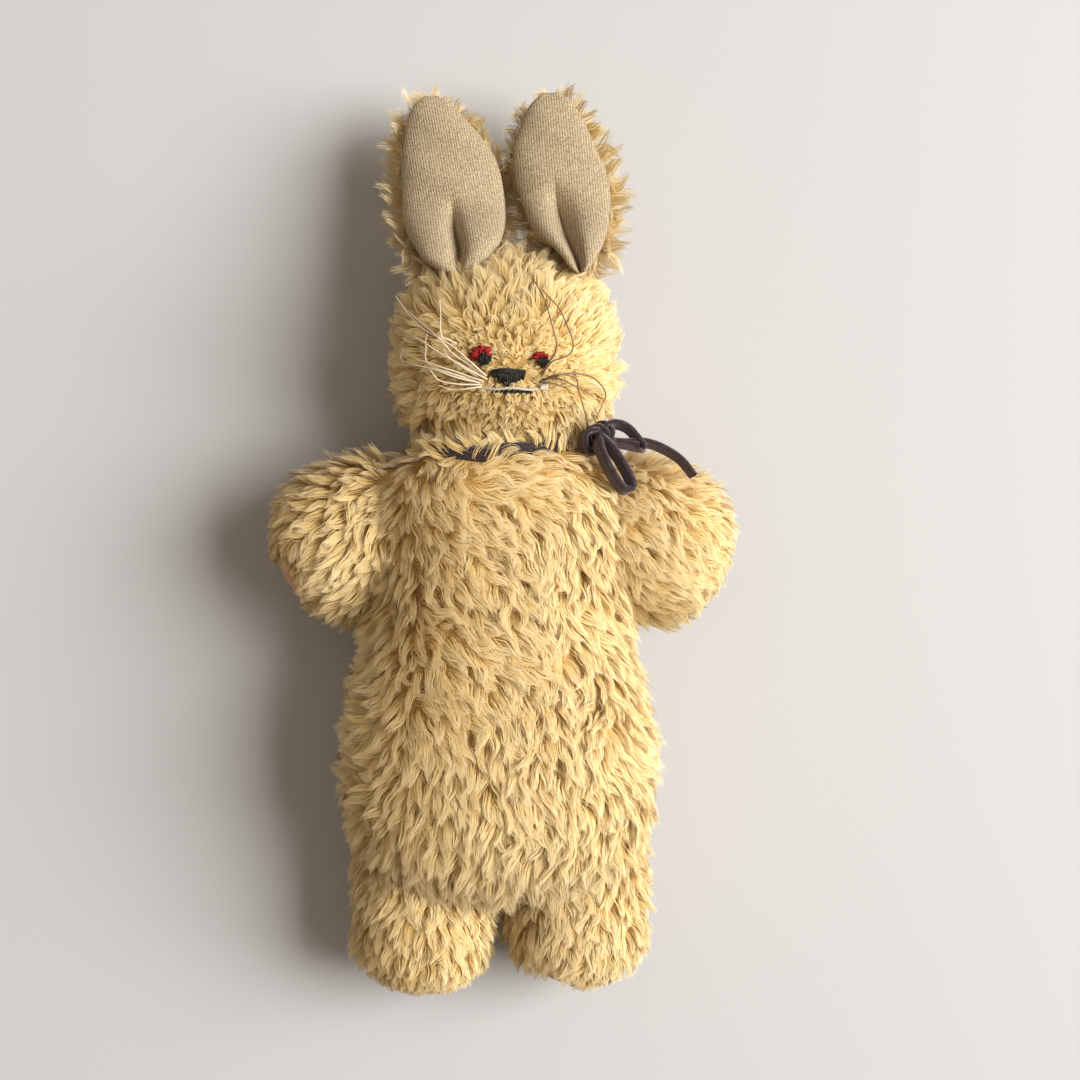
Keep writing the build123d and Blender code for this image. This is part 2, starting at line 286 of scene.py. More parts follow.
def add_worn_place(tree, cloth, fibre, middle, size):
    """Fades from the matted cloth to bare pinkish backing inside an ellipsoid."""
    place = add_node(tree, "ShaderNodeTexCoord", (-1500, 500))
    off = add_node(tree, "ShaderNodeVectorMath", (-1300, 500), operation="SUBTRACT")
    off.inputs[1].default_value = tuple(np.array(middle) * MM)
    squash = add_node(tree, "ShaderNodeVectorMath", (-1100, 500), operation="DIVIDE")
    squash.inputs[1].default_value = tuple(np.array(size) * MM)
    far = add_node(tree, "ShaderNodeVectorMath", (-900, 500), operation="LENGTH")
    tree.links.new(place.outputs["Object"], off.inputs[0])
    tree.links.new(off.outputs[0], squash.inputs[0])
    tree.links.new(squash.outputs[0], far.inputs[0])
    ragged = add_node(tree, "ShaderNodeMath", (-700, 500), operation="MULTIPLY_ADD")
    ragged.inputs[1].default_value = 0.5
    tree.links.new(fibre.outputs["Mask"], ragged.inputs[0])
    tree.links.new(far.outputs["Value"], ragged.inputs[2])
    bare = ramp(tree, (-500, 500), [
        (0.0, (0.76, 0.50, 0.32)), (0.75, (0.70, 0.42, 0.25)), (1.25, (0.72, 0.36, 0.22))])
    tree.links.new(fibre.outputs["Height"], bare.inputs["Fac"])
    edge = ramp(tree, (-500, 750), [(0.0, (0, 0, 0)), (0.86, (0, 0, 0)), (1.0, (1, 1, 1))])
    tree.links.new(ragged.outputs[0], edge.inputs["Fac"])
    blend = mix_colour(tree, (-250, 500))
    tree.links.new(edge.outputs["Color"], blend.inputs[0])
    tree.links.new(bare.outputs["Color"], blend.inputs["A"])
    tree.links.new(cloth, blend.inputs["B"])
    return blend.outputs["Result"]


def ear_jersey(grain):
    """Fine heathered jersey: columns of small V stitches along the ear, from V; U runs across it. The colour also
    darkens in the valleys between stitches, from the same relief as the bump: painted shade.
    """
    material, tree, shader = new_material("ear_jersey", (0.38, 0.29, 0.17), 0.9)
    shader.inputs["Specular IOR Level"].default_value = 0.15
    shader.inputs["Sheen Weight"].default_value = 0.12
    uv = add_node(tree, "ShaderNodeUVMap", (-1700, 0), uv_map="OFBake")
    split = add_node(tree, "ShaderNodeSeparateXYZ", (-1500, 0))
    tree.links.new(uv.outputs["UV"], split.inputs["Vector"])

    def maths(place, operation, first, second=None, third=None):
        made = add_node(tree, "ShaderNodeMath", place, operation=operation)
        for socket, value in zip(made.inputs, (first, second, third)):
            if isinstance(value, (int, float)):
                socket.default_value = value
            elif value is not None:
                tree.links.new(value, socket)
        return made.outputs[0]

    wales = maths((-1300, 100), "MULTIPLY", split.outputs["X"], EAR_SHEET / JERSEY_WALE)
    column = maths((-1100, 100), "FRACT", wales)
    off = maths((-900, 100), "ABSOLUTE", maths((-1000, 100), "SUBTRACT", column, 0.5))
    rows = maths((-1300, -150), "MULTIPLY", split.outputs["Y"], EAR_SHEET / JERSEY_COURSE)
    slanted = maths((-900, -150), "MULTIPLY_ADD", off, 1.1, rows)
    stitch = maths((-700, -150), "SINE", maths((-800, -150), "MULTIPLY", slanted, 2 * math.pi))
    gap = maths((-700, 100), "POWER", maths((-800, 100), "MULTIPLY", off, 2.0), 3.0)
    relief = maths((-500, 0), "MULTIPLY_ADD", stitch, 0.28, maths((-600, 60), "SUBTRACT", 0.72, gap))
    heather = place_grain(tree, grain, (-900, -450), 1300.0)
    mottle = maths((-450, -300), "MULTIPLY", heather.outputs["Height"], 0.80)
    # the stitch relief darkens the colour in the valleys: painted shade, mixed with the real heather mottle
    heather_and_stitch_shade = maths((-300, -200), "MULTIPLY_ADD", relief, 0.20, mottle)
    colours = ramp(tree, (-100, 50), [
        (0.22, (0.15, 0.105, 0.055)), (0.42, (0.36, 0.275, 0.165)),
        (0.60, (0.56, 0.45, 0.29)), (0.80, (0.78, 0.67, 0.48))])
    tree.links.new(heather_and_stitch_shade, colours.inputs["Fac"])
    tree.links.new(colours.outputs["Color"], shader.inputs["Base Color"])
    add_bump(tree, shader, relief, 0.55, 0.00035)
    vary_roughness(tree, shader, heather.outputs["Mask"], 0.8, 1.0)
    return material


def ribbon_velvet(grain):
    """Short dark plum pile, its colour flecked with pale painted highlights for the specks of light that it catches.
    """
    material, tree, shader = new_material("ribbon_velvet", (0.03, 0.017, 0.02), 0.75)
    shader.inputs["Specular IOR Level"].default_value = 0.25
    shader.inputs["Sheen Weight"].default_value = 1.0
    shader.inputs["Sheen Roughness"].default_value = 0.35
    shader.inputs["Sheen Tint"].default_value = (0.75, 0.62, 0.66, 1)
    nap = place_grain(tree, grain, (-900, 0), 2600.0)
    # painted highlights: the two pale stops at the top of the ramp
    colours = ramp(tree, (-500, 100), [
        (0.34, (0.010, 0.005, 0.007)), (0.52, (0.040, 0.024, 0.028)),
        (0.66, (0.13, 0.095, 0.10)), (0.8, (0.27, 0.22, 0.22))])
    tree.links.new(nap.outputs["Height"], colours.inputs["Fac"])
    tree.links.new(colours.outputs["Color"], shader.inputs["Base Color"])
    add_bump(tree, shader, nap.outputs["Height"], 0.9, 0.0005)
    vary_roughness(tree, shader, nap.outputs["Mask"], 0.6, 0.9)
    return material


def painted_shade_side(tree, twist, shade, dark, light):
    """Painted shade: mixes darker browns in from 2 to 8 mm on the +X side of the middle."""
    place = add_node(tree, "ShaderNodeTexCoord", (-1100, 500))
    split = add_node(tree, "ShaderNodeSeparateXYZ", (-900, 500))
    scaled = add_node(tree, "ShaderNodeMath", (-700, 500), operation="MULTIPLY")
    scaled.inputs[1].default_value = 100.0
    edge = ramp(tree, (-500, 500), [(0.2, (0, 0, 0)), (0.8, (1, 1, 1))])
    brown = ramp(tree, (-500, 300), [(0.35, dark), (0.65, light)])
    blend = mix_colour(tree, (-250, 300))
    tree.links.new(place.outputs["Object"], split.inputs[0])
    tree.links.new(split.outputs["X"], scaled.inputs[0])
    tree.links.new(scaled.outputs[0], edge.inputs["Fac"])
    tree.links.new(twist.outputs["Height"], brown.inputs["Fac"])
    tree.links.new(edge.outputs["Color"], blend.inputs[0])
    tree.links.new(shade, blend.inputs["A"])
    tree.links.new(brown.outputs["Color"], blend.inputs["B"])
    return blend.outputs["Result"]


def thread(grain, name, dark, light, roughness, gloss=0.3, side_shade_colours=None):
    """Twisted thread, its plies mottled between two shades; the last argument gives the darker browns painted as
    shade on the +X side.
    """
    material, tree, shader = new_material(name, light, roughness)
    shader.inputs["Specular IOR Level"].default_value = gloss
    twist = place_grain(tree, grain, (-900, 0), 3500.0)
    colours = ramp(tree, (-500, 100), [(0.35, dark), (0.65, light)])
    tree.links.new(twist.outputs["Height"], colours.inputs["Fac"])
    shade = colours.outputs["Color"]
    if side_shade_colours:
        shade = painted_shade_side(tree, twist, shade, *side_shade_colours)
    tree.links.new(shade, shader.inputs["Base Color"])
    add_bump(tree, shader, twist.outputs["Height"], 0.6, 0.0002)
    vary_roughness(tree, shader, twist.outputs["Mask"], roughness - 0.1, min(1.0, roughness + 0.15))
    return material


# ---------------------------------------------------------------- meshes from arrays
def mesh_object(name, points_mm, corners, sizes, material, uv=None, normals=None):
    """A mesh object from points in millimetres, a flat list of face corners and each face's size."""
    mesh = bpy.data.meshes.new(name)
    corners = np.asarray(corners, np.int32).ravel()
    sizes = np.asarray(sizes, np.int32)
    starts = np.concatenate([[0], np.cumsum(sizes)[:-1]]).astype(np.int32)
    mesh.vertices.add(len(points_mm))
    mesh.vertices.foreach_set("co", (np.asarray(points_mm) * MM).astype(np.float32).ravel())
    mesh.loops.add(len(corners))
    mesh.loops.foreach_set("vertex_index", corners)
    mesh.polygons.add(len(sizes))
    mesh.polygons.foreach_set("loop_start", starts)
    if uv is not None:
        layer = mesh.uv_layers.new(name="OFBake")
        layer.data.foreach_set("uv", uv[corners].astype(np.float32).ravel())
    mesh.update(calc_edges=True)
    mesh.polygons.foreach_set("use_smooth", np.full(len(sizes), True))
    if normals is not None:
        mesh.normals_split_custom_set_from_vertices(normals.tolist())
    mesh.materials.append(material)
    made = bpy.data.objects.new(name, mesh)
    bpy.context.collection.objects.link(made)
    return made


def grid_quads(rows, columns, wrap):
    """Corner numbers of a grid of quads, row after row; wrap joins the last column to the first."""
    r = np.arange(rows - 1)[:, None]
    c = np.arange(columns if wrap else columns - 1)[None, :]
    right = (c + 1) % columns
    a = r * columns + c
    b = r * columns + right
    return np.stack([a, b, b + columns, a + columns], -1).reshape(-1, 4)


def quad_object(name, points_mm, quads, material, uv=None):
    """A mesh object that has only quads."""
    return mesh_object(name, points_mm, quads, np.full(len(quads), 4), material, uv=uv)


def outward(points, quads):
    """The same faces, turned so that their normals point out of the closed shape."""
    corner = points[quads] - points.mean(0)
    lean = np.cross(corner[:, 2] - corner[:, 0], corner[:, 3] - corner[:, 1])
    volume = (corner.mean(1) * lean).sum()
    return points, quads if volume > 0 else quads[:, ::-1]


def fasten(piece, body, node):
    """A piece that moves with one body and stands for one node."""
    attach(piece, body)
    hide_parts(node)


# ---------------------------------------------------------------- skins that the pile grows from
def turned_skin(frames, half_width, half_depth, around=96, power=2.2):
    """Rings across a body: frames gives each ring's middle, across and up vectors."""
    middle, across, up = frames
    angle = np.linspace(0, 2 * np.pi, around, endpoint=False)
    c, s = np.cos(angle), np.sin(angle)
    cx = np.sign(c) * np.abs(c) ** (2 / power)
    sz = np.sign(s) * np.abs(s) ** (2 / power)
    points = (middle[:, None, :] + across[:, None, :] * (half_width[:, None] * cx[None, :])[..., None]
              + up[:, None, :] * (half_depth[:, None] * sz[None, :])[..., None])
    return outward(points.reshape(-1, 3), grid_quads(len(middle), around, True))


def smooth_stations(stations, count):
    """Rows of (position, values...) made into evenly spaced, smoothly bending rows."""
    table = np.array(stations, float)
    order = np.argsort(table[:, 0])
    table = table[order]
    at = np.linspace(table[0, 0], table[-1, 0], count)
    rows = [at]
    kernel = np.hanning(9)
    kernel /= kernel.sum()
    for column in table[:, 1:].T:
        values = np.interp(at, table[:, 0], column)
        padded = np.concatenate([np.full(4, values[0]), values, np.full(4, values[-1])])
        smoothed = np.convolve(padded, kernel, "valid")
        smoothed[0], smoothed[-1] = values[0], values[-1]
        rows.append(smoothed)
    return rows


def body_skin(stations, count=90, power=2.3):
    """A skin along Y from rows of (y, x middle, z middle, half-width, half-depth)."""
    y, x, z, half_width, half_depth = smooth_stations(stations, count)
    middle = np.stack([x, y, z], -1)
    across = np.tile([1.0, 0, 0], (count, 1))
    up = np.tile([0, 0, 1.0], (count, 1))
    return turned_skin((middle, across, up), half_width, half_depth, power=power)


def limb_skin(pivot, heading, reach, radius, depth, start=-22.0, count=70):
    """A round-ended limb from its pivot, along a heading in the XY plane."""
    along = np.array([math.cos(heading), math.sin(heading), 0])
    side = np.array([-along[1], along[0], 0])
    t = np.linspace(0, 1, count)
    s = start + (reach + radius - start) * (1 - (1 - t) ** 1.6)
    beyond = np.clip((s - reach) / radius, 0, 1)
    cap = np.sqrt(np.clip(1 - beyond ** 2, 0, 1))
    cap = cap * np.sqrt(np.clip(1 - np.clip((4 - s) / (4.3 - start), 0, 1) ** 2, 0, 1))
    middle = pivot + along * s[:, None]
    across = np.tile(-side, (count, 1))
    up = np.tile([0, 0, 1.0], (count, 1))
    return turned_skin((middle, across, up), radius * cap + 0.01, depth * cap + 0.01)


# ---------------------------------------------------------------- pile
def smooth_noise(points, scale, seed):
    """Three smooth random waves for each point, from -1 to 1."""
    rng = np.random.default_rng(seed)
    total = np.zeros((len(points), 3))
    for octave in range(3):
        directions = rng.normal(size=(3, 3)) * (1.6 ** octave) / scale
        phases = rng.uniform(0, 2 * np.pi, 3)
        total += np.sin(points @ directions.T * 2.2 + phases) * 0.62 ** octave
    return total / 1.9


def scatter(points, quads, spacing, keep, rng):
    """Roots spread over a skin at least some spacing apart; keep(points, normals) is where they may be."""
    corner = points[quads]
    diagonal = np.cross(corner[:, 2] - corner[:, 0], corner[:, 3] - corner[:, 1])
    area = np.linalg.norm(diagonal, axis=1) / 2
    normal = unit(diagonal)
    tries = int(area.sum() / spacing ** 2 * 3.2)
    face = rng.choice(len(quads), tries, p=area / area.sum())
    u, v = rng.random((2, tries, 1))
    q = corner[face]
    spot = (q[:, 0] * (1 - u) + q[:, 1] * u) * (1 - v) + (q[:, 3] * (1 - u) + q[:, 2] * u) * v
    facing = normal[face]
    wanted = keep(spot, facing)
    spot, facing = spot[wanted], facing[wanted]
    cells = {}
    taken = []
    keys = np.floor(spot / spacing).astype(int)
    near = [(i, j, k) for i in (-1, 0, 1) for j in (-1, 0, 1) for k in (-1, 0, 1)]
    closest = (spacing * 0.78) ** 2
    for index, (a, b, c) in enumerate(keys.tolist()):
        here = spot[index]
        clear = True
        for i, j, k in near:
            for other in cells.get((a + i, b + j, c + k), ()):
                gap = here - spot[other]
                if gap @ gap < closest:
                    clear = False
                    break
            if not clear:
                break
        if clear:
            cells.setdefault((a, b, c), []).append(index)
            taken.append(index)
    return spot[taken], facing[taken]


def grow_locks(root, normal, flow, length, look, rng):
    """Locks of wavy fibres. Each is a leaf-shaped bundle of thin tapering ribbons.

    look: strands in a lock, half-width, thickness, lift at root and tip in radians, wave, fibre width."""
    count = len(root)
    strands = look["strands"]
    steps = look["steps"]
    flow = unit(flow - normal * (flow * normal).sum(-1, keepdims=True))
    side = np.cross(normal, flow)
    s = np.linspace(0, 1, steps + 1)
    wave_phase = rng.uniform(0, 2 * np.pi, (count, 1, 1))
    wave_turns = rng.uniform(0.6, 1.25, (count, 1, 1))
    wave = look["wave"] * rng.uniform(0.5, 1.4, (count, 1, 1))
    bend = rng.normal(0, look["bend"], (count, 1, 1))
    lift0 = look["lift"][0] + rng.normal(0, 0.16, (count, 1, 1))
    lift1 = look["lift"][1] + rng.normal(0, 0.20, (count, 1, 1))
    reach = rng.uniform(0.74, 1.0, (count, strands, 1))
    at = s[None, None, :] * reach
    stray = (np.arange(strands) >= strands - look["stray"]).astype(float)[None, :, None]
    own = rng.normal(0, 0.10, (count, strands, 1)) * (1 + 2.6 * stray)
    heading = wave * np.sin(2 * np.pi * wave_turns * at + wave_phase) + bend * at + own * at
    lift = lift0 + (lift1 - lift0) * at ** 0.7 + rng.normal(0, 0.07, (count, strands, 1)) * at
    ahead = (np.cos(lift) * np.cos(heading))[..., None] * flow[:, None, None, :] \
        + (np.cos(lift) * np.sin(heading))[..., None] * side[:, None, None, :] \
        + np.sin(lift)[..., None] * normal[:, None, None, :]
    step = (length[:, None, None] * reach / steps)[..., None]
    line = np.concatenate([np.zeros((count, strands, 1, 3)), np.cumsum(ahead[:, :, :-1] * step, 2)], 2)
    line += root[:, None, None, :]
    wide = unit(np.cross(np.broadcast_to(normal[:, None, None, :], ahead.shape), ahead))
    above = np.cross(ahead, wide)
    spread = rng.uniform(-1, 1, (count, strands, 1))
    height = rng.uniform(-1, 1, (count, strands, 1)) * np.sqrt(1 - spread ** 2 * 0.9)
    profile = (1 - at ** 2.0) * (0.75 + 0.45 * at)
    half_width = look["half_width"] * rng.uniform(0.75, 1.25, (count, 1, 1)) * (1 + 0.8 * stray)
    line += wide * (spread * profile * half_width)[..., None]
    line += above * (height * profile * look["thickness"])[..., None]
    roll = rng.normal(0, 0.45, (count, strands, 1))
    edge = -wide * np.cos(roll)[..., None] - above * np.sin(roll)[..., None]
    fibre = look["fibre"] * rng.uniform(0.75, 1.25, (count, strands, 1))
    fibre = fibre * (1 - 0.45 * s[None, None, :]) * (1 - 0.5 * stray)
    half = edge * (fibre / 2)[..., None]
    left, right = line - half, line + half
    body = np.stack([left[:, :, :-1], right[:, :, :-1]], 3).reshape(count * strands, steps * 2, 3)
    tip = line[:, :, -1:].reshape(count * strands, 1, 3)
    points = np.concatenate([body, tip], 1)
    tone = np.clip(look["tone"][:, None] + rng.normal(0, 0.09, (count, strands)), 0.01, 0.99)
    v = (s[None, None, :] * reach) ** 0.9 * (0.98 - look["root"]) + look["root"]
    v = np.broadcast_to(v, (count, strands, steps + 1)).reshape(count * strands, -1)
    u = tone.reshape(-1, 1)
    uv_body = np.stack([u + np.tile([-0.004, 0.004], steps), np.repeat(v[:, :-1], 2, 1)], -1)
    uv_tip = np.stack([u, v[:, -1:]], -1)
    uv = np.concatenate([uv_body, uv_tip], 1)
    face_out = np.cross(ahead, edge)
    face_out *= np.sign((face_out * normal[:, None, None, :]).sum(-1, keepdims=True))
    soft = unit(normal[:, None, None, :] + above * 0.30 + face_out * 0.22)
    soft_body = np.repeat(soft[:, :, :-1], 2, 2).reshape(count * strands, steps * 2, 3)
    soft = np.concatenate([soft_body, soft[:, :, -1:].reshape(count * strands, 1, 3)], 1)
    return points, uv, soft


def strand_faces(strands, steps):
    """Quads up each strand and one triangle at its tip."""
    per = steps * 2 + 1
    quads = np.array([[2 * k, 2 * k + 1, 2 * k + 3, 2 * k + 2] for k in range(steps - 1)]).ravel()
    pattern = np.concatenate([quads, [2 * steps - 2, 2 * steps - 1, 2 * steps]])
    corners = (np.arange(strands)[:, None] * per + pattern[None, :]).ravel()
    sizes = np.tile([4] * (steps - 1) + [3], strands)
    return corners, sizes


FLOOR_LIFT = 0.25            # the lowest that any fibre reaches
PRESSED_BELOW = 3.0          # fibres under this height are pressed up by the table
MAX_STRANDS = 21000


def pile_piece(name, locks, material):
    """Mesh pieces from grown locks, none of them too big to keep whole."""
    points, uv, normals = locks
    points = points.copy()
    z = points[..., 2]
    pressed = FLOOR_LIFT + 2.75 * np.exp((z - PRESSED_BELOW) / 2.75)
    points[..., 2] = np.where(z < PRESSED_BELOW, pressed, z)
    steps = (points.shape[1] - 1) // 2
    made = []
    chunks = max(1, math.ceil(len(points) / MAX_STRANDS))
    order = np.argsort(points[:, 0, 1], kind="stable")
    for index, part in enumerate(np.array_split(order, chunks)):
        corners, sizes = strand_faces(len(part), steps)
        label = name if chunks == 1 else f"{name}_{index + 1}"
        made.append(mesh_object(label, points[part].reshape(-1, 3), corners, sizes, material,
                                uv=uv[part].reshape(-1, 2), normals=normals[part].reshape(-1, 3)))
    return made


LONG_LOOK = {"strands": 30, "steps": 5, "half_width": 1.95, "thickness": 1.1, "lift": (0.85, 0.14),
             "wave": 0.36, "bend": 0.42, "fibre": 0.23, "stray": 7, "root": 0.12}
SHORT_LOOK = {"strands": 16, "steps": 4, "half_width": 1.3, "thickness": 0.9, "lift": (0.90, 0.30),
              "wave": 0.75, "bend": 1.0, "fibre": 0.25, "stray": 4, "root": 0.10}


def cover(name, skin, spacing, length_of, flow_of, tone_of, look, seed, material, keep):
    """Grows pile over a skin and returns its pieces."""
    rng = np.random.default_rng(seed)
    if not FULL_FUR:
        spacing = spacing * 1.7
    spot, facing = scatter(*skin, spacing, keep, rng)
    flow = flow_of(spot, facing) + smooth_noise(spot, 16.0, seed + 1) * 0.45 + rng.normal(0, 0.12, spot.shape)
    length = length_of(spot, facing) * rng.uniform(0.78, 1.18, len(spot))
    tone = tone_of(spot, facing) + rng.normal(0, 0.13, len(spot)) + smooth_noise(spot, 9.0, seed + 2)[:, 0] * 0.12
    look = dict(look, tone=np.clip(tone, 0.02, 0.98))
    return pile_piece(name, grow_locks(spot, facing, flow, length, look, rng), material)


# ---------------------------------------------------------------- torso
TORSO_STATIONS = [
    (41, 1, 37, 0.1, 0.1), (40, 1, 37, 20, 15), (36, 1, 37, 27, 19), (31, 1, 37, 27.5, 20), (26, 1, 37, 37, 24),
    (14, 0, 37, 40, 27), (0, 0, 37, 38, 28.5), (-15, 0, 37, 38.5, 30), (-30, -0.5, 37, 40, 31.5),
    (-46, -0.5, 37, 43.5, 32.5), (-62, -0.5, 37, 46.5, 33), (-85, 0, 36, 46, 32), (-98, 0, 34, 42, 28),
    (-106, 0, 31, 34, 21), (-111, 0, 29, 20, 11), (-113, 0, 28, 0.1, 0.1)]


def torso_flow(p, n):
    """Pile runs down the body, sweeping to the left below the left arm and slanting across the chest."""
    x, y = p[:, 0], p[:, 1]
    heading = np.full(len(p), -90.0)
    heading += 45 * ease(x, -42, -22) * (1 - ease(x, -5, 22)) * ease(y, -72, -45)
    heading += -95 * (1 - ease(x, -40, -24)) * ease(y, -112, -60)
    heading += 30 * ease(y, 8, 24) * np.sign(x + 8) + 150 * ease(y, 27, 31) * np.sign(x + 8)
    heading = np.radians(heading)
    flow = np.stack([np.cos(heading), np.sin(heading), np.zeros(len(p))], -1)
    flow[n[:, 2] < -0.2] = (0, -1, 0)
    flow[:, 2] -= 0.35 * (np.abs(n[:, 0]) > 0.75)
    return flow


def torso_length(p, n):
    length = np.full(len(p), 11.5)
    length *= 1 - 0.30 * ease(p[:, 1], 24, 34)
    length *= 1 + 0.25 * (1 - ease(p[:, 1], -104, -92)) * (n[:, 2] > 0)
    length *= np.where(n[:, 2] < -0.5, 0.62, 1.0)
    return length


def painted_side_light(p, n):
    """Paler on the right and browner on the left: painted light on the right-hand side and painted shade on the left.
    """
    return 0.58 + 0.20 * ease(p[:, 0], -40, 45)


def make_torso(pile, backing):
    skin = body_skin(TORSO_STATIONS)
    cloth = quad_object("torso_backing_cloth", *skin, backing)
    pieces = cover("torso_pile", skin, 2.75, torso_length, torso_flow, painted_side_light, LONG_LOOK, 11, pile,
                   keep=lambda p, n: p[:, 1] < 37)
    for piece in [cloth, *pieces]:
        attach(piece, "torso")
    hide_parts("torso_front_fleece", "torso_back_fleece")
    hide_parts("torso_stuffing")


# ---------------------------------------------------------------- limbs
def limb_cover(name, skin, pivot, along, length, seed, pile, short_end, worn):
    """Pile over one limb; it shortens over the short_end stretch and leaves out the worn place."""
    def flow_of(p, n):
        flow = np.tile(along * 0.8 + np.array([0, -0.45, 0]), (len(p), 1))
        flow[:, 2] -= 0.35 * (np.abs(n[:, 2]) < 0.6)
        return flow

    def shortening(p):
        return ease((p - pivot) @ along, *short_end)

    def length_of(p, n):
        return length * (1 - 0.5 * shortening(p)) * np.where(n[:, 2] < -0.5, 0.7, 1.0)

    def tone_of(p, n):
        return painted_side_light(p, n) - 0.14 * shortening(p)

    def keep(p, n):
        kept = (p - pivot) @ along > -14
        if worn is not None:
            middle, size = worn
            ragged = smooth_noise(p, 3.0, seed + 3)[:, 0] * 0.12
            kept &= np.linalg.norm((p - middle) / size, axis=1) + ragged > 0.92
        return kept

    return cover(name, skin, 2.7, length_of, flow_of, tone_of, LONG_LOOK, seed, pile, keep)


def make_limb(name, heading, reach, radius, depth, length, seed, pile, backing, short_end, worn):
    pivot = joint_point(f"{name}_fold")
    along = np.array([math.cos(heading), math.sin(heading), 0])
    skin = limb_skin(pivot, heading, reach, radius, depth)
    if "arm" in name:
        skin = skin[0] + (0, 1.8, 0), skin[1]
    cloth = quad_object(f"{name}_backing_cloth", *skin, backing)
    pieces = limb_cover(f"{name}_pile", skin, pivot, along, length, seed, pile, short_end, worn)
    for piece in [cloth, *pieces]:
        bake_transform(piece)
    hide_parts(f"{name}_front_fleece", f"{name}_back_fleece")
    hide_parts(f"{name}_stuffing")


# where the pile has worn off: middle and half-sizes
WORN = {
    "left_arm": ((-71.0, -13.0, 34.0), (12.0, 13.0, 26.0)),
    "right_arm": ((74.5, -13.0, 36.0), (5.0, 7.0, 12.0)),
    "right_leg": ((14.0, -143.0, 35.0), (13.0, 10.0, 22.0)),
}


def make_limbs(pile, grain):
    """Name, heading, reach, radius across, half-depth, pile length, seed, where the pile shortens."""
    table = (
        ("left_arm", 203, 9.5, 23.0, 19.5, 10.5, 21, (12, 28)),
        ("right_arm", -25, 9.5, 23.5, 19.5, 10.5, 31, (18, 32)),
        ("left_leg", -91, 22.5, 21.0, 19.5, 9.0, 41, (26, 42)),
        ("right_leg", -89, 21.0, 20.5, 19.5, 9.0, 51, (26, 42)))
    for name, heading, reach, radius, depth, length, seed, short_end in table:
        worn = WORN.get(name)
        cloth = fleece_backing(grain, f"{name}_backing", *(worn or ()))
        make_limb(name, math.radians(heading), reach, radius, depth, length, seed, pile, cloth, short_end, worn)


# ---------------------------------------------------------------- head
HEAD_STATIONS = [
    (35, 1, 36, 0.1, 0.1), (36, 1, 36, 20, 18), (40, 1.2, 36, 27, 23), (48, 1.6, 36.5, 32, 28.5),
    (58, 1.6, 36.5, 33.5, 31), (70, 1.6, 36.5, 33, 30), (80, 1.6, 36, 30.5, 25.5),
    (87, 1.6, 35.5, 26.5, 19.5), (92, 1.6, 35, 20, 13), (95, 1.6, 35, 11, 6), (96, 1.6, 35, 0.1, 0.1)]
FACE_MIDDLE = np.array([3.5, 55.0])


def head_shape():
    points, quads = body_skin(HEAD_STATIONS, power=2.35)
    front = points[:, 2] > 36
    off = np.linalg.norm(points[:, :2] - (FACE_MIDDLE - (0, 3)), axis=1)
    points[:, 2] += np.where(front, 2.6 * np.exp(-(off / 13) ** 2), 0)
    return points, quads


def face_distance(p):
    return np.linalg.norm((p[:, :2] - FACE_MIDDLE) / (1.25, 1.0), axis=1)


def head_flow(p, n):
    out = unit(p[:, :2] - (FACE_MIDDLE + (0, 2)))
    flow = np.stack([out[:, 0], out[:, 1] + 0.15, np.zeros(len(p))], -1)
    flow[p[:, 1] < 50, 1] -= 0.6
    flow[p[:, 1] < 43] = (0, -1, 0.1)
    flow[n[:, 2] < -0.1] = (0, -1, 0)
    flow[:, 2] -= 0.3 * (np.abs(n[:, 0]) > 0.7)
    return flow


def on_front(p):
    return p[:, 2] > 45


def make_head(pile, backing):
    skin = head_shape()
    cloth = quad_object("head_backing_cloth", *skin, backing)

    def is_face(p, n):
        return on_front(p) & (face_distance(p) < 16.5)

    def length_of(p, n):
        far = ease(face_distance(p), 12, 26)
        length = np.where(on_front(p), 4.5 + 5.0 * far, 8.5) * np.where(n[:, 2] < -0.5, 0.75, 1)
        return length * (1 + 0.25 * (1 - ease(p[:, 1], 40, 46)))

    def tone_of(p, n):
        return painted_side_light(p, n) - 0.10 * np.where(on_front(p), 1 - ease(face_distance(p), 10, 20), 0)

    long_pile = cover("head_pile", skin, 2.6, length_of, head_flow, tone_of, LONG_LOOK, 61, pile,
                      keep=lambda p, n: ~is_face(p, n) & (p[:, 1] > 37.5))
    short_pile = cover("face_pile", skin, 1.75, lambda p, n: np.full(len(p), 3.6), head_flow, tone_of, SHORT_LOOK,
                       71, pile, keep=is_face)
    for piece in [cloth, *long_pile, *short_pile]:
        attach(piece, "head")
    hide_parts("head_face_fleece", "head_back_fleece")
    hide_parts("head_stuffing")
    return Face(skin[0])


def make_neck(backing):
    """A stuffed ball inside the neck, hidden between head and torso."""
    low, high = node_box("neck_stuffing")
    middle, half = (low + high) / 2, (high - low) / 2 - 0.5
    y = np.sin(np.linspace(-np.pi / 2, np.pi / 2, 32))
    ring = np.sqrt(1 - y ** 2) + 0.001
    centre = middle + np.stack([np.zeros(32), y * half[1], np.zeros(32)], -1)
    across, up = np.tile([1.0, 0, 0], (32, 1)), np.tile([0, 0, 1.0], (32, 1))
    skin = turned_skin((centre, across, up), ring * half[0], ring * half[2], around=48, power=2.0)
    ball = quad_object("neck_stuffing_ball", *skin, backing)
    fasten(ball, "neck", "neck_stuffing")


# ---------------------------------------------------------------- threads
def smooth_line(points, per_span):
    """A smooth curve through points."""
    p = np.array(points, float)
    p = np.concatenate([[2 * p[0] - p[1]], p, [2 * p[-1] - p[-2]]])
    t = np.linspace(0, 1, per_span, endpoint=False)[:, None]
    spans = []
    for a, b, c, d in zip(p[:-3], p[1:-2], p[2:-1], p[3:]):
        spans.append(0.5 * (2 * b + (c - a) * t + (2 * a - 5 * b + 4 * c - d) * t ** 2
                            + (3 * b - a - 3 * c + d) * t ** 3))
    return np.concatenate([*spans, p[-2:-1]])


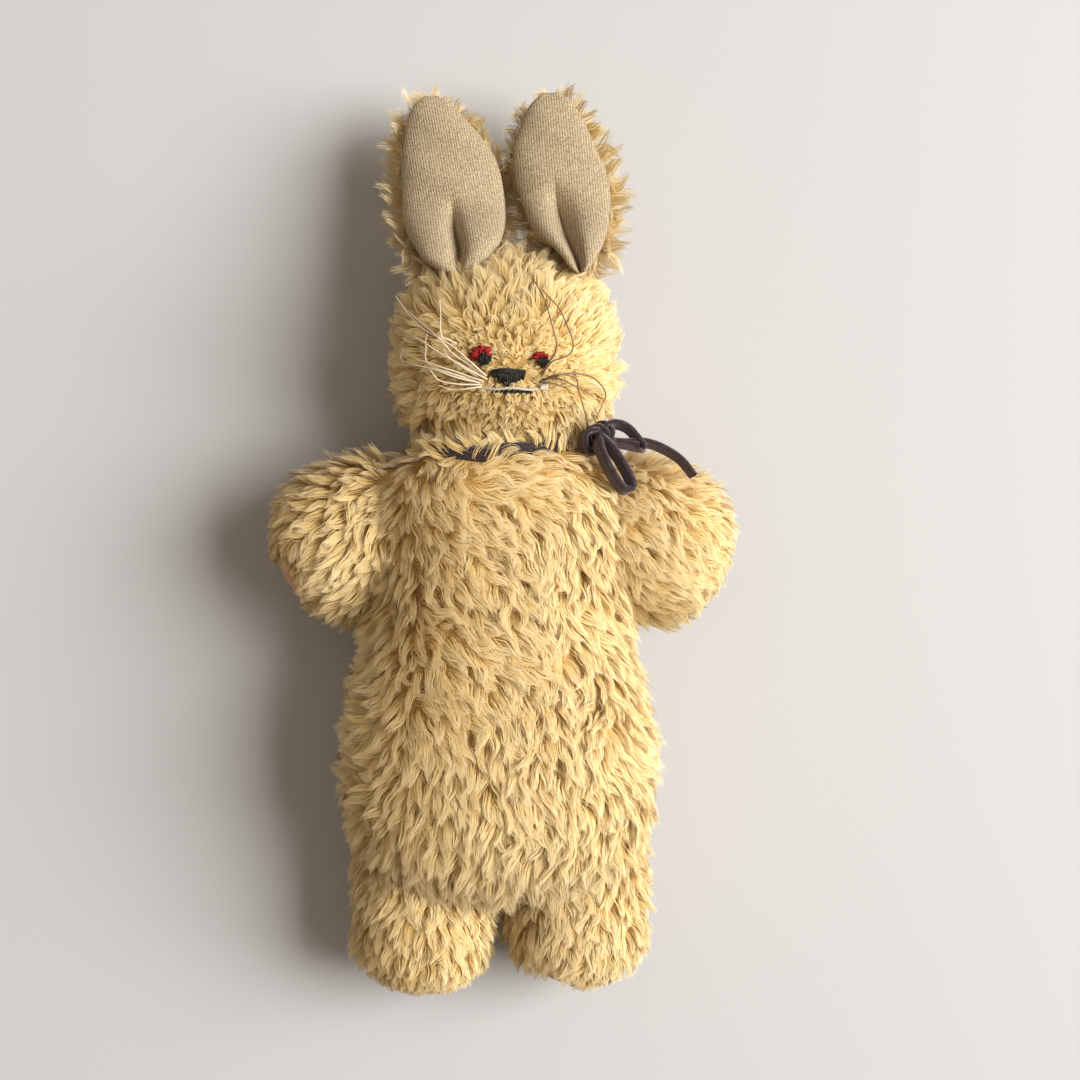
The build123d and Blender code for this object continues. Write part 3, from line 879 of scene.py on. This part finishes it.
def tube(line, radius, sides):
    """A round thread along a line, closed at both ends; the radius may change along it."""
    radius = np.broadcast_to(radius, len(line))
    tangent = unit(np.gradient(line, axis=0))
    normal = np.cross(tangent[0], (0.3, 0.2, 0.93))
    normals = []
    for t in tangent:
        normal = unit(normal - t * (normal @ t))
        normals.append(normal)
    n = np.array(normals)
    b = np.cross(tangent, n)
    angle = np.linspace(0, 2 * np.pi, sides, endpoint=False)
    ring = n[:, None] * np.cos(angle)[None, :, None] + b[:, None] * np.sin(angle)[None, :, None]
    points = (line[:, None] + ring * radius[:, None, None]).reshape(-1, 3)
    quads = grid_quads(len(line), sides, True)
    ends = np.stack([line[0] - tangent[0] * radius[0] * 0.5, line[-1] + tangent[-1] * radius[-1] * 0.5])
    first, last = len(points), len(points) + 1
    c = np.arange(sides)
    nxt = (c + 1) % sides
    base = (len(line) - 1) * sides
    caps = np.concatenate([np.stack([nxt, c, np.full(sides, first)], -1),
                           np.stack([base + c, base + nxt, np.full(sides, last)], -1)])
    return np.concatenate([points, ends]), quads, caps


def threads(name, lines, radius, material, sides=8):
    """Several threads as one piece."""
    points, corners, sizes, base = [], [], [], 0
    for index, line in enumerate(lines):
        own = radius[index] if isinstance(radius, list) else radius
        p, quads, caps = tube(line, own, sides)
        points.append(p)
        corners += [(quads + base).ravel(), (caps + base).ravel()]
        sizes += [np.full(len(quads), 4), np.full(len(caps), 3)]
        base += len(p)
    return mesh_object(name, np.concatenate(points), np.concatenate(corners), np.concatenate(sizes), material)


# ---------------------------------------------------------------- face
class Face:
    """The front of the head, for placing stitches on it."""

    def __init__(self, skin_points):
        self.points = skin_points[skin_points[:, 2] > 38]

    def height(self, x, y):
        gap = np.linalg.norm(self.points[:, :2] - (x, y), axis=1)
        near = np.argsort(gap)[:6]
        weight = 1 / (gap[near] + 0.1)
        return (self.points[near, 2] * weight).sum() / weight.sum()

    def line(self, points, per_span):
        """A smooth line from (x, y, height above the face) points."""
        return smooth_line([(x, y, self.height(x, y) + lift) for x, y, lift in points], per_span)


def satin(face, x, y, across, count, rng, lift, top, bottom, jitter, lean):
    """Side-by-side stitches; across is the width that they fill, top and bottom their two edges."""
    lines = []
    for u in np.linspace(-1, 1, count):
        a = x + u * across / 2 + rng.normal(0, jitter * 0.4)
        y0, y1 = y + bottom(u) + rng.normal(0, jitter), y + top(u) + rng.normal(0, jitter)
        up = lift + rng.uniform(-0.1, 0.35)
        lines.append(face.line([(a, y0, lift * 0.25), (a + lean * 0.5, (y0 + y1) / 2, up),
                                (a + lean, y1, lift * 0.25)], 5))
    return lines


def make_eyes(face, red, dark):
    rng = np.random.default_rng(5)
    for side, size in (("left", 1.0), ("right", 0.72)):
        low, high = node_box(f"{side}_eye_red_stitching")
        x, y = (low[:2] + high[:2]) / 2
        rim = []
        for k in range(int(26 * size)):
            angle = rng.uniform(-0.35, math.pi + 0.5) if k % 4 else rng.uniform(0, 2 * math.pi)
            outer = np.array([math.cos(angle) * 3.6, math.sin(angle) * 2.9]) * size * rng.uniform(0.8, 1.05)
            inner = outer * rng.uniform(0.2, 0.5) + rng.normal(0, 0.5, 2) * size
            middle = (inner + outer) / 2 + rng.normal(0, 0.25, 2)
            rim.append(face.line([(x + inner[0], y + inner[1], 2.0), (x + middle[0], y + middle[1], 3.1),
                                  (x + outer[0], y + outer[1], 1.6)], 4))
        stitches = threads(f"{side}_eye_red_stitches", rim, 0.36, red)
        low, high = node_box(f"{side}_eye_dark_pupil")
        px, py = (low[:2] + high[:2]) / 2
        px, py = px + 0.5 * size, py - 0.6 * size
        reach = 2.1 * size
        core = satin(face, px, py, 3.6 * size, 7, rng, 4.3, top=lambda u: reach * math.sqrt(1.02 - u * u * 0.9),
                     bottom=lambda u: -reach * math.sqrt(1.02 - u * u * 0.9), jitter=0.15, lean=0.3)
        pupil = threads(f"{side}_pupil_stitches", core, 0.37, dark)
        fasten(stitches, "head", f"{side}_eye_red_stitching")
        fasten(pupil, "head", f"{side}_eye_dark_pupil")


def make_nose_and_mouth(face, dark, white):
    rng = np.random.default_rng(6)
    low, high = node_box("nose_stitching")
    x, y = (low[:2] + high[:2]) / 2
    core = satin(face, x, y, 9.4, 15, rng, 3.0, top=lambda u: 2.3 - 0.5 * u * u,
                 bottom=lambda u: -2.4 + 2.3 * abs(u) ** 1.4, jitter=0.22, lean=0.6)
    for offset in (1.2, 1.9):
        core.append(face.line([(x - 5.2, y + offset, 1.6), (x - 1, y + offset + 0.3, 3.5),
                               (x + 5.3, y + offset, 1.7)], 6))
    for a in np.linspace(-4.6, 5.4, 7):
        core.append(face.line([(x + a, y - 4.6, 1.0), (x + a + 1.0, y - 4.2, 2.0),
                               (x + a + 2.1, y - 4.7, 1.0)], 4))
    nose = threads("nose_satin_stitches", core, 0.42, dark)
    low, high = node_box("mouth_thread")
    y = (low[1] + high[1]) / 2
    left, right = low[0], high[0] + 0.6
    line = face.line([(left, y + 0.4, 1.2), (left + 5, y - 0.2, 2.6), ((left + right) / 2, y + 0.1, 3.0),
                      (right - 4, y - 0.3, 2.7), (right, y + 0.2, 2.2)], 10)
    turn = np.linspace(0, 26 * math.pi, len(line) * 4)
    at, known = np.linspace(0, 1, len(turn)), np.linspace(0, 1, len(line))
    fine = np.stack([np.interp(at, known, line[:, k]) for k in range(3)], -1)
    plies = [fine + np.stack([np.zeros(len(turn)), np.cos(turn + phase) * 0.2, np.sin(turn + phase) * 0.2], -1)
             for phase in (0, math.pi)]
    t = np.linspace(0, 1, 60)
    knot = np.stack([right + 0.5 + 0.9 * np.sin(4 * math.pi * t), y + 1.0 + 0.9 * np.cos(6 * math.pi * t),
                     face.height(right, y) + 2.6 + 0.7 * np.sin(10 * math.pi * t)], -1)
    mouth = threads("mouth_thread_and_knot", [*plies, knot], [0.24, 0.24, 0.5], white)
    fasten(nose, "head", "nose_stitching")
    fasten(mouth, "head", "mouth_thread")


# whiskers: (x, y, height above the face), each from its root outward
WHISKER_LINES = {
    "left": (
        ((-3.6, 53.4, 1.2), (-8, 57, 4), (-13.5, 61.8, 6), (-22, 67, 7.5), (-28, 73, 8), (-32.6, 80.2, 8)),
        ((-3.2, 52.4, 1.0), (-9, 55, 5), (-16, 59, 7), (-24.5, 64.5, 9), (-32.0, 70.2, 9)),
        ((-6.5, 53.2, 1.2), (-15.3, 59.2, 5), (-17, 65, 6.5), (-17.4, 70, 7), (-17.6, 76.4, 7)),
        ((-12.7, 63.2, 4.5), (-16.5, 64.9, 6), (-18.9, 64.4, 6)),
        ((-4.5, 51.8, 0.9), (-14, 54.8, 4.5), (-22, 57.4, 7), (-28, 59.9, 8)),
        ((-5.0, 50.8, 0.8), (-12, 50.8, 3), (-18, 51.9, 5), (-21.3, 55.6, 6), (-26, 56.6, 7), (-30.2, 58.0, 7)),
        ((-5.5, 51.4, 0.8), (-13, 52.8, 4.5), (-20, 55.4, 6), (-27.5, 57.5, 7), (-31.0, 60.2, 7), (-29.6, 62.5, 7)),
        ((-7.0, 52.3, 1.0), (-14, 53.8, 5), (-21.3, 57.0, 6), (-22.1, 61.5, 6), (-21.8, 66.0, 6)),
        ((-5.0, 50.2, 0.7), (-9, 49.5, 2), (-14, 49.2, 3), (-18.5, 50.5, 4)),
        ((-4.8, 53.8, 1.0), (-9, 56.6, 3), (-14, 60.2, 6), (-20, 66.4, 8), (-27.8, 73.6, 9)),
    ),
    "right": (
        ((13.0, 54.0, 1.2), (15.6, 57.0, 3), (18.0, 61.5, 6), (16.8, 68.0, 7), (14.4, 76.0, 7), (10.8, 83.4, 7)),
        ((13.4, 53.4, 1.0), (16.6, 57.4, 3.5), (22.6, 60.2, 6.5), (22.4, 65.6, 8), (19.2, 72.6, 8), (13.8, 79.4, 8)),
        ((14.0, 52.6, 1.0), (19, 52.4, 4), (24, 50.2, 6), (29.6, 47.6, 7)),
        ((13.6, 52.0, 1.0), (18, 53.6, 4.5), (23.8, 52.8, 6), (24.8, 49.4, 6), (26.8, 43.6, 7), (28.2, 37, 9),
         (27.2, 26.6, 11)),
        ((13.0, 51.6, 0.9), (20, 53.9, 4), (27.3, 53.8, 6), (31.8, 51.8, 7), (33.8, 48.8, 7), (32.2, 44.6, 8),
         (29.3, 40.3, 9)),
        ((13.5, 51.2, 0.8), (16.3, 51.2, 3), (19, 50.4, 4), (22.0, 49.2, 5)),
    ),
}


def make_whiskers(face, waxed):
    rng = np.random.default_rng(8)
    for side, lines in WHISKER_LINES.items():
        drawn, thickness = [], []
        for points in lines:
            root = np.array(points[0][:2])
            raised = [(x, y, lift + (2.8 if k else 1.4) + 0.14 * np.hypot(*(root - (x, y))))
                      for k, (x, y, lift) in enumerate(points)]
            line = face.line(raised, 10)
            s = np.linspace(0, 1, len(line))
            wobble = np.stack([np.sin(s * rng.uniform(14, 26) + rng.uniform(0, 6)) for _ in range(3)], -1) * 0.16
            drawn.append(line + wobble * s[:, None])
            thickness.append(0.31 * (1 - 0.40 * s))
        piece = threads(f"{side}_whisker_threads", drawn, thickness, waxed, sides=6)
        fasten(piece, "head", f"{side}_whiskers")


# ---------------------------------------------------------------- ears
# each ear's jersey front: (y, left edge, right edge), and the pinch that folds its root: (y, x)
EAR_EDGES = {
    "left": ((86.6, -15.6, -11.0), (88.4, -20.0, -8.2), (91.8, -24.4, -3.6), (97, -27.4, 0.2), (101, -29.6, 1.3),
             (106, -31.2, 1.95), (112, -31.9, 1.7), (117, -32.2, 1.2), (122, -32.4, 0.4), (128, -32.3, -1.6),
             (134, -31.5, -5.5), (139, -30.8, -9.8), (143, -29.6, -13.6), (146, -27.8, -16.8), (148.2, -24.8, -20.6)),
    "right": ((87.6, 23.6, 27.6), (89.6, 21.6, 29.4), (92, 20.2, 30.8), (96, 17.0, 32.8), (100, 12.2, 34.2),
              (104, 9.7, 35.2), (109, 8.1, 35.9), (114, 6.6, 36.1), (119, 5.0, 36.0), (125, 4.0, 34.2),
              (131, 4.3, 31.2), (137, 6.1, 28.8), (142, 7.8, 26.4), (146, 10.2, 23.6), (149.2, 13.8, 19.8)),
}
EAR_PINCH = {
    "left": ((86.0, -12.2), (90, -12.4), (95, -12.8), (103, -14.6), (112, -15.5), (150, -20.5)),
    "right": ((87.0, 26.0), (92, 24.6), (100, 21.6), (110, 19.0), (118, 17.6), (150, 16.5)),
}
EAR_PINCH_TOP = {"left": 116.0, "right": 123.0}
EAR_PINCH_WIDTH = {"left": 0.15, "right": 0.27}
EAR_PINCH_DEPTH = {"left": 4.0, "right": 4.6}
EAR_SKEW = {"left": 0.18, "right": 0.0810}   # how far the knit leans across per unit along


def ear_lift(y):
    """Height of the ear's side seam: it rises over the forehead at its root and leans back at its tip."""
    return 38.0 + 19.5 * (1 - ease(y, 86, 116)) - 1.5 * ease(y, 120, 150)


def ear_front(side):
    """A grid over the front of one ear: points row by row, and how far across each is."""
    edges = np.array(EAR_EDGES[side])
    pinch = np.array(EAR_PINCH[side])
    rows, columns = 120, 81
    y = edges[0, 0] + (edges[-1, 0] - edges[0, 0]) * (1 - np.cos(np.linspace(0, np.pi, rows))) / 2
    kernel = np.hanning(7) / np.hanning(7).sum()

    def edge(k):
        x = np.interp(y, edges[:, 0], edges[:, k])
        return np.convolve(np.concatenate([np.full(3, x[0]), x, np.full(3, x[-1])]), kernel, "valid")

    left, right = edge(1), edge(2)
    middle = np.interp(y, pinch[:, 0], pinch[:, 1])
    middle = np.clip(middle, left + (right - left) * 0.2, right - (right - left) * 0.2)
    c = np.linspace(-1, 1, columns)
    c = np.sign(c) * np.abs(c) ** 0.9
    half = np.where(c[None, :] < 0, (middle - left)[:, None], (right - middle)[:, None])
    x = middle[:, None] + c[None, :] * half
    width = (right - left) / 2
    full = np.sqrt(np.clip(1 - c[None, :] ** 2 * np.ones((rows, 1)), 0, 1))
    lobe = np.sqrt(np.clip(1 - (2 * np.abs(c[None, :]) - 1) ** 2, 0, 1)) * np.ones((rows, 1))
    low, high = edges[0, 0], EAR_PINCH_TOP[side]
    pinched = (1 - ease(y, low + (high - low) * 0.35, high))[:, None]
    crown = (5.8 * (width / 16)[:, None]) * (full * (1 - pinched) + lobe * pinched * 1.25)
    slit = np.exp(-(c[None, :] / EAR_PINCH_WIDTH[side]) ** 2) * pinched * EAR_PINCH_DEPTH[side]
    ripple = 0.5 * np.sin(y[:, None] * 0.33 + c[None, :] * 2.0) * full
    z = ear_lift(y)[:, None] + crown - slit + ripple
    yy = np.broadcast_to(y[:, None], x.shape)
    return np.stack([x, yy, z], -1)


def twice_ended(rows):
    """The rows with the first and the last of them doubled."""
    return np.concatenate([rows[:1], rows, rows[-1:]])


def make_ear(side, jersey, pile, backing, seed):
    front = ear_front(side)
    rows, columns = front.shape[:2]
    middle_x = front[:, columns // 2, 0].mean()
    u = (front[..., 0] - middle_x + EAR_SKEW[side] * (front[..., 1] - 120)) / EAR_SHEET + 0.5
    uv = np.stack([u, (front[..., 1] - 80) / EAR_SHEET], -1).reshape(-1, 2)
    knit = quad_object(f"{side}_ear_jersey", front.reshape(-1, 3), grid_quads(rows, columns, False), jersey, uv)
    thick = knit.modifiers.new("cloth thickness", "SOLIDIFY")
    thick.thickness = 0.0006
    left, right = front[:, 0], front[:, -1]
    half = np.linalg.norm(right - left, axis=1) / 2 - 0.8
    depth = 4.4 * np.sqrt(np.clip(half / half.max(), 0, 1))
    centre = twice_ended((left + right) / 2 + (0, 0, -8.8))
    centre[[0, -1], 1] += (-0.6, 0.6)
    across = twice_ended(unit(right - left))
    up = np.tile([0, 0, 1.0], (rows + 2, 1))
    half, depth = np.concatenate([[0.05], half, [0.05]]), np.concatenate([[0.05], depth, [0.05]])
    skin = turned_skin((centre, across, up), half, depth, around=56, power=2.2)
    cloth = quad_object(f"{side}_ear_backing_cloth", *skin, backing)

    def from_middle(p):
        return p[:, 0] - np.interp(p[:, 1], centre[:, 1], centre[:, 0])

    def flow_of(p, n):
        half_here = np.interp(p[:, 1], centre[:, 1], half)
        out = np.clip(from_middle(p) / np.maximum(half_here, 1), -1, 1)
        flow = np.stack([out, 0.45 + 0.8 * ease(p[:, 1], 136, 148), np.full(len(p), 0.55)], -1)
        flow[:, 1] -= 0.9 * (1 - ease(p[:, 1], 92, 118))
        return flow

    def length_of(p, n):
        outer = from_middle(p) < 0 if side == "left" else from_middle(p) > 0
        return np.where(outer, 12.5, 9.5) * (1 - 0.25 * ease(p[:, 1], 138, 149))

    # painted light: root 0.6 and a tone raised by 0.25 make the ear fringe paler than the same fleece on the body
    look = dict(LONG_LOOK, lift=(0.50, 0.10), strands=20, half_width=1.9, fibre=0.22, bend=0.7, root=0.6)
    pieces = cover(f"{side}_ear_pile", skin, 2.2, length_of, flow_of, lambda p, n: painted_side_light(p, n) + 0.25, look,
                   seed, pile, keep=lambda p, n: (n[:, 2] < 0.55) & (p[:, 1] > 90))
    for piece in [knit, cloth, *pieces]:
        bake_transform(piece)
    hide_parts(f"{side}_ear_knit_front")
    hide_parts(f"{side}_ear_back_fleece")
    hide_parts(f"{side}_ear_padding")


# ---------------------------------------------------------------- ribbon and bow
def ribbon_strip(name, line, width_way, width, thickness, material, closed=False):
    """Ribbon with rounded edges along a line; width_way points across its face."""
    count = len(line)
    tangent = unit(np.roll(line, -1, 0) - np.roll(line, 1, 0) if closed else np.gradient(line, axis=0))
    way = np.broadcast_to(np.asarray(width_way, float), line.shape)
    way = unit(way - tangent * (way * tangent).sum(-1, keepdims=True))
    out = np.cross(tangent, way)
    width = np.broadcast_to(width, count)
    u = np.linspace(-1, 1, 13)
    top = np.stack([u, np.sqrt(np.clip(1 - np.abs(u) ** 8, 0, 1))], -1)
    outline = np.concatenate([top, (top * (1, -1))[-2:0:-1]])
    points = (line[:, None] + way[:, None] * (outline[None, :, :1] * width[:, None, None] / 2)
              + out[:, None] * outline[None, :, 1:] * thickness / 2)
    sides = len(outline)
    if closed:
        points = np.concatenate([points, points[:1]])
        count += 1
    quads = grid_quads(count, sides, True)
    flat = points.reshape(-1, 3)
    corners, sizes = [quads.ravel()], [np.full(len(quads), 4)]
    if not closed:
        half_ring = np.arange(12)
        for base, turn in ((0, 1), ((count - 1) * sides, -1)):
            strip_faces = np.stack([base + half_ring, base + half_ring + 1,
                                    base + (sides - half_ring - 1) % sides,
                                    base + (sides - half_ring) % sides], -1)[:, ::turn]
            corners.append(strip_faces.ravel())
            sizes.append(np.full(len(strip_faces), 4))
    return mesh_object(name, flat, np.concatenate(corners), np.concatenate(sizes), material)


def make_ribbon(velvet):
    low, high = node_box("neck_ribbon_band")
    middle = (low + high) / 2
    angle = np.linspace(0, 2 * np.pi, 160, endpoint=False)
    half_x, half_z = (high[0] - low[0]) / 2 - 3.0, (high[2] - low[2]) / 2 - 2.6
    x, z = half_x * np.cos(angle), half_z * np.sin(angle)
    line = middle + np.stack([x, 0.4 * np.sin(3 * angle) + 0.07 * x, z], -1)
    band = ribbon_strip("neck_ribbon", line, (0, 1, 0), 5.8 + 0.5 * np.sin(angle * 5), 1.1, velvet, closed=True)
    low, high = node_box("bow_knot")
    kx, ky, kz = (low + high) / 2 + (-1.0, 3.2, 1.0)
    turns = []
    for k in range(3):
        a = np.linspace(0, 2 * np.pi, 40, endpoint=False)
        turns.append(np.stack([kx + (k - 1) * 1.3 + 3.0 * np.cos(a), ky + (k - 1) * 0.8 + 3.4 * np.sin(a),
                               kz + 2.6 * np.sin(a + 0.9 * k)], -1))
    knot_line = np.concatenate(turns)
    knot = ribbon_strip("bow_knot_wrap", knot_line, (0.5, 0.2, 1.0), 5.0, 1.5, velvet)
    reach, aside = np.array([0.50, -0.866, 0]), np.array([0.866, 0.50, 0])
    bends = ((0, -0.6, 2.0), (4, -1.7, 4.4), (9, -2.2, 5.0), (14, -2.2, 4.6), (17.6, -1.5, 4.0), (18.6, 0, 3.6),
             (17.6, 1.5, 3.4), (14, 2.1, 3.6), (9, 2.1, 3.8), (4, 1.6, 3.2), (0, 0.6, 1.4))
    front = smooth_line([np.array([kx + 0.6, ky, kz]) + reach * a + aside * b + (0, 0, c) for a, b, c in bends], 8)
    loop = ribbon_strip("bow_front_loop_velvet", front, (0.30, 0.18, 0.93), 6.6, 2.0, velvet)

    def from_knot(offsets, per_span):
        return smooth_line([(kx + x, ky + y, kz + z) for x, y, z in offsets], per_span)

    arc = from_knot(((1.0, 2.0, 1.0), (4.6, 4.6, 1.4), (9.2, 3.6, 1.2), (13.4, -0.8, 0.4), (14.2, -2.6, 0),
                     (11.0, -2.0, -0.4), (6.2, -1.2, -0.6), (2.0, -1.2, -0.6)), 10)
    back = ribbon_strip("bow_back_loop_velvet", arc, (0.10, 0.34, 0.94), 6.6, 1.5, velvet)
    end = from_knot(((2.0, -0.6, -1.0), (8.6, -1.2, -0.6), (14.6, -1.0, -0.2), (20.4, -2.8, 0),
                     (26.2, -6.4, -0.2), (30.6, -11.6, -0.8)), 12)
    tail = ribbon_strip("bow_tail_velvet", end, (0.16, 0.30, 0.92), np.linspace(7.2, 5.4, len(end)), 1.5, velvet)
    for piece, node in ((band, "neck_ribbon_band"), (knot, "bow_knot"), (loop, "bow_front_loop"),
                        (back, "bow_back_loop"), (tail, "bow_tail")):
        fasten(piece, "torso", node)


# ---------------------------------------------------------------- build
def main():
    add_camera()
    add_stage()
    grain = grain_group()
    pile = pile_fleece()
    backing = fleece_backing(grain)
    jersey = ear_jersey(grain)
    make_torso(pile, backing)
    make_limbs(pile, grain)
    face = make_head(pile, backing)
    make_ear("left", jersey, pile, backing, 81)
    make_ear("right", jersey, pile, backing, 91)
    red = thread(grain, "red_stitches", (0.20, 0.012, 0.012), (0.44, 0.035, 0.035), 0.8, 0.1)
    dark = thread(grain, "dark_green_stitches", (0.010, 0.010, 0.010), (0.055, 0.050, 0.045), 0.7, 0.15)
    white = thread(grain, "white_mouth_thread", (0.55, 0.48, 0.36), (0.82, 0.78, 0.68), 0.65)
    # the whiskers on the +X side are painted darker brown: painted shade
    waxed = thread(grain, "waxed_whiskers", (0.58, 0.44, 0.27), (0.86, 0.77, 0.60), 0.45, 0.5,
                   side_shade_colours=((0.13, 0.075, 0.035), (0.34, 0.22, 0.12)))
    make_eyes(face, red, dark)
    make_nose_and_mouth(face, dark, white)
    make_whiskers(face, waxed)
    make_ribbon(ribbon_velvet(grain))
    make_neck(backing)


main()
